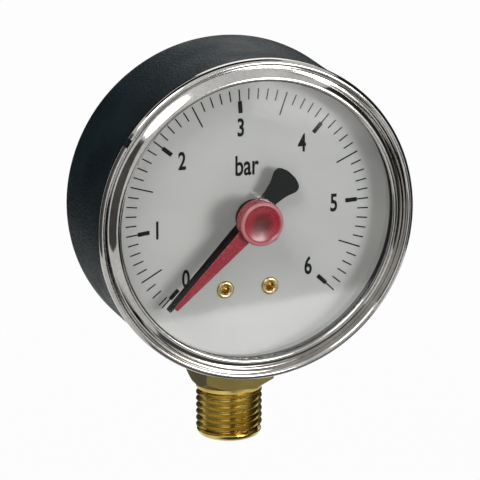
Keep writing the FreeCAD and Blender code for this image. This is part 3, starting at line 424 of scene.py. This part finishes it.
# %% Model the bezel
bezel_profile = [(27.8, 6.16), (27.8, 6.5), (28.0, 6.76), (28.4, 6.84), (28.9, 6.7), (29.6, 6.1),
                 (30.05, 5.68), (30.35, 5.62), (30.6, 5.9), (30.85, 6.3), (31.15, 6.55),
                 (31.5, 6.55), (31.85, 6.35), (32.08, 6.0), (32.14, 5.6), (32.14, 5.06),
                 (29.94, 5.06), (29.94, 3.6), (29.36, 3.6), (29.36, 6.16)]
ring = spin_profile(bezel_profile, steps=256)
NOTCH_ANGLE = 146
notch = box((31.45, -0.9, 4.0), (33.0, 0.9, 8.0))
bmesh.ops.rotate(notch, verts=notch.verts, cent=(0, 0, 0),
                 matrix=Matrix.Rotation(math.radians(NOTCH_ANGLE), 3, "Z"))
ring = carve(ring, notch)
finish_piece("bezel_ring", ring, M["bezel_chrome"], "housing", "bezel", crease=50)

# %% [markdown]
# ## Window
# A disc of clear sheet, with a small hole where the marker's pin passes. Its edges are broken.

# %% Model the window
PIN_HOLE, PANE_BACK, PANE_FRONT = 1.25, 4.5, 6.1
pane = spin_profile([(PIN_HOLE, PANE_BACK), (BORE_RADIUS, PANE_BACK), (BORE_RADIUS, PANE_FRONT),
                     (PIN_HOLE, PANE_FRONT)])
soften(pane, 0.1, segments=2)
finish_piece("window_pane", pane, M["window_clear"], "housing", "window")

# %% [markdown]
# ## Dial print
# The scale is pad printed: a thin, even film of black ink. Each mark is a thin slab a few
# hundredths of a millimetre high. A full mark has a bold inner bar and a fine outer line.

# %% Print the scale
INK = (0.0, 0.03)
OUTER, BOLD_END, FINE_START, MAJOR_START = 24.95, 22.6, 22.75, 20.2
FINE, BOLD = 0.28, 0.85
ZERO_ANGLE, LAST_ANGLE, PER_BAR = 225.1, -44.15, 46.08


def scale_angle(value):
    return ZERO_ANGLE if value == 0 else LAST_ANGLE + (6 - value) * PER_BAR


def mark(inner, outer, width, angle):
    bm = box((inner, -width / 2, INK[0]), (outer, width / 2, INK[1]))
    bmesh.ops.rotate(bm, verts=bm.verts, cent=(0, 0, 0),
                     matrix=Matrix.Rotation(math.radians(angle), 3, "Z"))
    return bm


marks = []
for tenth in [0] + list(range(2, 61)):
    angle = scale_angle(tenth / 10)
    if tenth % 10 == 0:
        marks += [mark(BOLD_END, OUTER, FINE, angle), mark(MAJOR_START, BOLD_END, BOLD, angle)]
    elif tenth % 5 == 0:
        marks.append(mark(MAJOR_START, OUTER, FINE, angle))
    else:
        marks.append(mark(FINE_START, OUTER, 0.26, angle))
finish_piece("dial_marks", merge(*marks), M["dial_ink"], "housing")


# %% [markdown]
# Figures start as text curves, are made meshes and are then placed. The face is narrow and
# bold, so it is squeezed sideways and given a little weight.

# %% Print the figures
def figure(text, x, y, height, narrow, weight):
    curve = bpy.data.curves.new("figure", "FONT")
    curve.body = text
    curve.size = height / 0.73
    curve.extrude = INK[1] / 2
    curve.offset = weight
    curve.align_x = "CENTER"
    thing = bpy.data.objects.new("figure", curve)
    bpy.context.collection.objects.link(thing)
    graph = bpy.context.evaluated_depsgraph_get()
    bm = bmesh.new()
    bm.from_mesh(bpy.data.meshes.new_from_object(thing.evaluated_get(graph)))
    bpy.data.objects.remove(thing)
    bmesh.ops.remove_doubles(bm, verts=bm.verts, dist=1e-4)
    bmesh.ops.scale(bm, verts=bm.verts, vec=(narrow, 1, 1))
    bmesh.ops.translate(bm, verts=bm.verts, vec=(x, y - height / 2, INK[1] / 2))
    return bm


NARROW = 0.66
places = [(-12.7, -12.1), (-18.5, -1.8), (-13.4, 11.7), (-1.4, 17.4), (11.2, 13.25), (17.8, 0.6),
          (12.5, -11.7)]
figures = [figure(str(n), x, y, 3.6, NARROW, 0.122) for n, (x, y) in enumerate(places)]
figures.append(figure("bar", -0.24, 9.75, 4.1, NARROW, 0.1))
finish_piece("dial_figures", merge(*figures), M["dial_ink"], "housing")

# %% [markdown]
# ## Rivets
# Two hollow brass rivets hold the dial. Pressing turns each head into a small dished ring.

# %% Model the rivets
RIVET_X, RIVET_Y = 4.6, -15.2
rivet_profile = [(0, -2.4), (0.6, -2.3), (0.7, -0.3), (0.95, 0.3), (1.2, 0.44), (1.5, 0.44),
                 (1.72, 0.27), (1.78, 0.1), (1.78, 0.0), (0.94, 0.0), (0.94, -2.85), (0, -2.85)]
rivets = []
for x in (-RIVET_X, RIVET_X):
    rivet = spin_profile(rivet_profile, closed=False, steps=48)
    bmesh.ops.translate(rivet, verts=rivet.verts, vec=(x, RIVET_Y, 0))
    rivets.append(rivet)
finish_piece("rivet_heads", merge(*rivets), M["turned_brass"], "housing", "dial_rivets", crease=40)

# %% [markdown]
# ## Stem
# Turned and milled from square brass bar. The wrench square's lower corners are turned to a
# cone, which leaves the bright curved facets. The thread is a real helix: a ridge of its
# section is spun with a step along the axis for each turn, as a die cuts it.

# %% Model the stem
crown = spin_profile([(0, 0), (7.3, 0), (10.5, 2.2), (10.5, 12), (0, 12)], closed=False, steps=128)
wrench = carve(box((-7, -7, 0), (7, 7, 12)), crown, "INTERSECT")
soften(wrench, 0.12, segments=2, angle=40)
head = soften(box((-7, -2.2, 11.9), (7, 6.1, 27)), 0.2, segments=2)
core = spin_profile([(2.5, -11), (5.25, -11), (5.85, -10.7), (6.25, -10.25), (6.4, -9.8),
                     (6.35, -9.6), (5.74, -9.35), (5.74, -1.5),
                     (6.5, -1.0), (6.57, -0.7), (6.57, 0.5), (2.5, 0.5)], steps=128)
PITCH = 1.337
section = [(5.6, -0.62), (5.74, -0.56), (6.46, -0.14), (6.55, -0.05), (6.55, 0.05), (6.46, 0.14),
           (5.74, 0.56), (5.6, 0.62)]
thread = bmesh.new()
ridge = [thread.verts.new((r, 0, z - 9.55)) for r, z in section]
loop = [thread.edges.new((a, b)) for a, b in zip(ridge, ridge[1:] + ridge[:1])]
TURNS = 6.3
STEPS = int(TURNS * 72)
bmesh.ops.spin(thread, geom=ridge + loop, cent=(0, 0, 0), axis=(0, 0, 1),
               dvec=(0, 0, PITCH * TURNS / STEPS), angle=math.tau * TURNS, steps=STEPS,
               use_merge=False, use_duplicate=False)
bmesh.ops.holes_fill(thread, edges=thread.edges, sides=0)
bmesh.ops.recalc_face_normals(thread, faces=thread.faces)
finish_piece("stem_brass", merge(wrench, head, core, thread), M["stem_brass"], "housing", "stem",
             place=ON_STEM, crease=28)


# %% [markdown]
# ## Pointer
# A thin blackened blade with a broad rounded tail that balances it, on a bush with a cap.
# At rest it lies on the zero mark. The outline is one face, extruded, with its tail rounded.

# %% Model the pointer
def turned_outline(points, angle):
    c, s = math.cos(math.radians(angle)), math.sin(math.radians(angle))
    return [(a * c - b * s, a * s + b * c) for a, b in points]


half = [(24.6, 0.6), (0, 1.8), (-5.0, 1.75), (-7.4, 2.3), (-9.4, 3.3), (-10.5, 3.0), (-11.2, 1.2)]
outline = half + [(a, -b) for a, b in reversed(half)]
POINTER_ANGLE, POINTER_BACK, BLADE_THICKNESS = 225.0, 3.15, 0.3
blade = plate(turned_outline(outline, POINTER_ANGLE), POINTER_BACK, BLADE_THICKNESS)


def upright(edge):
    a, b = edge.verts[0].co, edge.verts[1].co
    return abs(a.x - b.x) + abs(a.y - b.y) < 1e-4 and a.xy.length < 14 and a.xy.length > 6


soften(blade, 0.7, upright, segments=4, angle=8)
soften(blade, 0.05, segments=1, angle=60)
finish_piece("pointer_blade", blade, M["pointer_black"], "pointer", "pointer")
hub = spin_profile([(0.82, 1.0), (1.5, 1.0), (1.5, 3.45), (3.7, 3.45), (3.7, 3.68), (3.6, 3.75),
                    (0, 3.75), (0, 3.45), (0.82, 3.45)])
finish_piece("pointer_cap", hub, M["pointer_black"], "pointer", "pointer_hub")

# %% [markdown]
# ## Marker hand
# A red hand outside the window, turned by its knob to mark a limit. It is one moulding: a
# rounded knob with a shallow dish, and a long tapered hand. Its darker centre over the brass pin is
# painted shade.

# %% Model the marker hand
KNOB_BACK = 6.25  # the knob's back, just clear of the window
KNOB_RADIUS, MARKER_ANGLE, GATE_ANGLE = 4.43, 223.6, math.radians(-50)
knob_profile = [(0, KNOB_BACK), (KNOB_RADIUS, KNOB_BACK), (KNOB_RADIUS, KNOB_BACK + 2.1),
                (4.38, KNOB_BACK + 2.45), (4.25, KNOB_BACK + 2.72), (4.05, KNOB_BACK + 2.88),
                (3.85, KNOB_BACK + 2.93), (3.7, KNOB_BACK + 2.85), (3.55, KNOB_BACK + 2.62),
                (3.4, KNOB_BACK + 2.55), (0, KNOB_BACK + 2.55)]
knob = spin_profile(knob_profile, closed=False, steps=128)
pocket = bar(1.87, KNOB_BACK - 1, KNOB_BACK + 2.02)
knob = carve(knob, pocket)
hand_outline = [(23.5, 0.4), (0, 1.7), (0, -1.7), (23.5, -0.4)]
hand = plate(turned_outline(hand_outline, MARKER_ANGLE), KNOB_BACK + 0.25, 0.7)
soften(hand, 0.12, segments=2, angle=40)
gate = bar(0.42, KNOB_BACK + 1.3, KNOB_BACK + 2.2, KNOB_RADIUS * math.cos(GATE_ANGLE) * 0.95,
           KNOB_RADIUS * math.sin(GATE_ANGLE) * 0.95, steps=16)
finish_piece("marker_knob", merge(knob, hand, gate), M["marker_red"], "marker", "marker_hand",
             crease=40)

# %% [markdown]
# ## Studio
# A pale floor well below the gauge, a white surround, and soft lamps. The white seen behind
# the gauge and in polished metal is the surround's own colour; the light that falls on the
# gauge is weaker, so colours stay true. Dark cards at the sides give the chrome its bands.


# %% Floor, surround, cards
def seen_directly(tree):
    path = add(tree, "ShaderNodeLightPath")
    first = add(tree, "ShaderNodeMath", {"operation": "MAXIMUM"},
                {0: path.outputs["Is Camera Ray"], 1: path.outputs["Is Glossy Ray"]})
    return add(tree, "ShaderNodeMath", {"operation": "MAXIMUM"},
               {0: first.outputs[0], 1: path.outputs["Is Transmission Ray"]})


def flat_board(name, centre, size, turn, material, roll=0):
    bm = bmesh.new()
    bmesh.ops.create_grid(bm, x_segments=1, y_segments=1, size=0.5)
    bmesh.ops.scale(bm, verts=bm.verts, vec=(size[0], size[1], 1))
    bm.transform(Matrix.Translation(centre) @ Matrix.Rotation(math.radians(turn[1]), 4, "Z")
                 @ Matrix.Rotation(math.radians(turn[0]), 4, "X")
                 @ Matrix.Rotation(math.radians(roll), 4, "Z"))
    mesh = bpy.data.meshes.new(name)
    bm.to_mesh(mesh)
    bm.free()
    mesh.materials.append(material)
    board = bpy.data.objects.new(name, mesh)
    bpy.context.collection.objects.link(board)
    return board


floor_paint = bpy.data.materials.new("white_floor")
floor_paint.use_nodes = True
tree = floor_paint.node_tree
tree.nodes.clear()
direct = seen_directly(tree)
share = add(tree, "ShaderNodeMath", {"operation": "MULTIPLY", 1: 0.97}, {0: direct.outputs[0]})
diffuse = add(tree, "ShaderNodeBsdfDiffuse", {"Color": linear("#f7f7f7")})
glow = add(tree, "ShaderNodeEmission", {"Strength": 1.0})
mixed = add(tree, "ShaderNodeMixShader", None,
            {0: share.outputs[0], 1: diffuse.outputs[0], 2: glow.outputs[0]})
add(tree, "ShaderNodeOutputMaterial", None, {"Surface": mixed.outputs[0]})
flat_board("floor", (0, 0, -0.45), (12, 12), (0, 0), floor_paint)

world = bpy.data.worlds.new("surround")
bpy.context.scene.world = world
world.use_nodes = True
tree = world.node_tree
tree.nodes.clear()
direct = seen_directly(tree)
level = add(tree, "ShaderNodeMapRange", {"To Min": 0.55, "To Max": 1.0},
            {"Value": direct.outputs[0]})
sky = add(tree, "ShaderNodeBackground", {"Color": (1, 1, 1, 1)}, {"Strength": level.outputs[0]})
add(tree, "ShaderNodeOutputWorld", None, {"Surface": sky.outputs[0]})

card_paint = surface("black_card", "#1a1a1a", "#101010", (0.8, 0.9), 4.0, 0.01)
grey_paint = surface("grey_card", "#6a6a6a", "#5c5c5c", (0.8, 0.9), 4.0, 0.01)
for name, centre, size, turn in (
    ("card_left", (-0.9, -0.1, 0.15), (1.7, 1.1), (90, 90)),
    ("card_right", (0.9, 0.25, 0.15), (2.0, 1.1), (90, 90)),
    ("card_top", (-0.2, 0.3, 1.1), (1.6, 1.2), (0, 0)),
    ("card_front", (0.135, -0.42, -0.12), (0.5, 0.2), (90, 0)),
    ("card_back", (-0.1, 1.1, 0.18), (1.8, 1.2), (90, 0)),
    ("card_low", (0.15, -0.15, -0.35), (0.6, 0.4), (0, 0)),
):
    paint = grey_paint if name in ("card_left", "card_low") else card_paint
    flat_board(name, centre, size, turn, paint).visible_camera = False


# %% [markdown]
# Two small glowing boards stand where the window mirrors them, one low and one high. They give
# the clear sheet the two soft bright patches by which the eye knows that it is there.

# %% Boards that the window mirrors
for name, centre, size, roll, strength in (
    ("glow_low", (0.136, -0.40, -0.1115), (0.2, 0.022), 4.3, 2.7),
    ("glow_high", (0.201, -0.40, -0.0144), (0.12, 0.1), -17, 1.5),
):
    glowing = bpy.data.materials.new(name)
    glowing.use_nodes = True
    tree = glowing.node_tree
    tree.nodes.clear()
    light = add(tree, "ShaderNodeEmission", {"Strength": strength})
    add(tree, "ShaderNodeOutputMaterial", None, {"Surface": light.outputs[0]})
    flat_board(name, centre, size, (90, 0), glowing, roll).visible_camera = False


# %% Lamps and camera
def lamp(name, place, target, size, power):
    data = bpy.data.lights.new(name, "AREA")
    data.shape = "DISK"
    data.size = size
    data.energy = power
    thing = bpy.data.objects.new(name, data)
    thing.location = place
    aim = Vector(target) - Vector(place)
    thing.rotation_euler = aim.to_track_quat("-Z", "Y").to_euler()
    bpy.context.collection.objects.link(thing)


MIDDLE = (0, -0.01, 0.035)
lamp("key", (0.4, -0.9, 0.12), MIDDLE, 0.35, 5.5)
lamp("fill", (-0.5, -0.6, 0.75), MIDDLE, 0.5, 4.5)
lamp("back", (0.3, 0.8, 0.5), MIDDLE, 0.6, 1.5)

AZIMUTH, ELEVATION, DISTANCE = math.radians(-18.77), math.radians(15.94), 1.0
look_at = Vector((-0.00158, -0.0115, 0.03222))
away = Vector((math.sin(AZIMUTH) * math.cos(ELEVATION), -math.cos(AZIMUTH) * math.cos(ELEVATION),
               math.sin(ELEVATION)))
camera = bpy.data.objects.new("camera", bpy.data.cameras.new("camera"))
camera.location = look_at + away * DISTANCE
camera.rotation_euler = (-away).to_track_quat("-Z", "Y").to_euler()
camera.data.lens = 384.9
camera.data.sensor_width = 36
camera.data.clip_start = 0.05
bpy.context.collection.objects.link(camera)
bpy.context.scene.camera = camera
bpy.context.scene.view_settings.view_transform = "Standard"
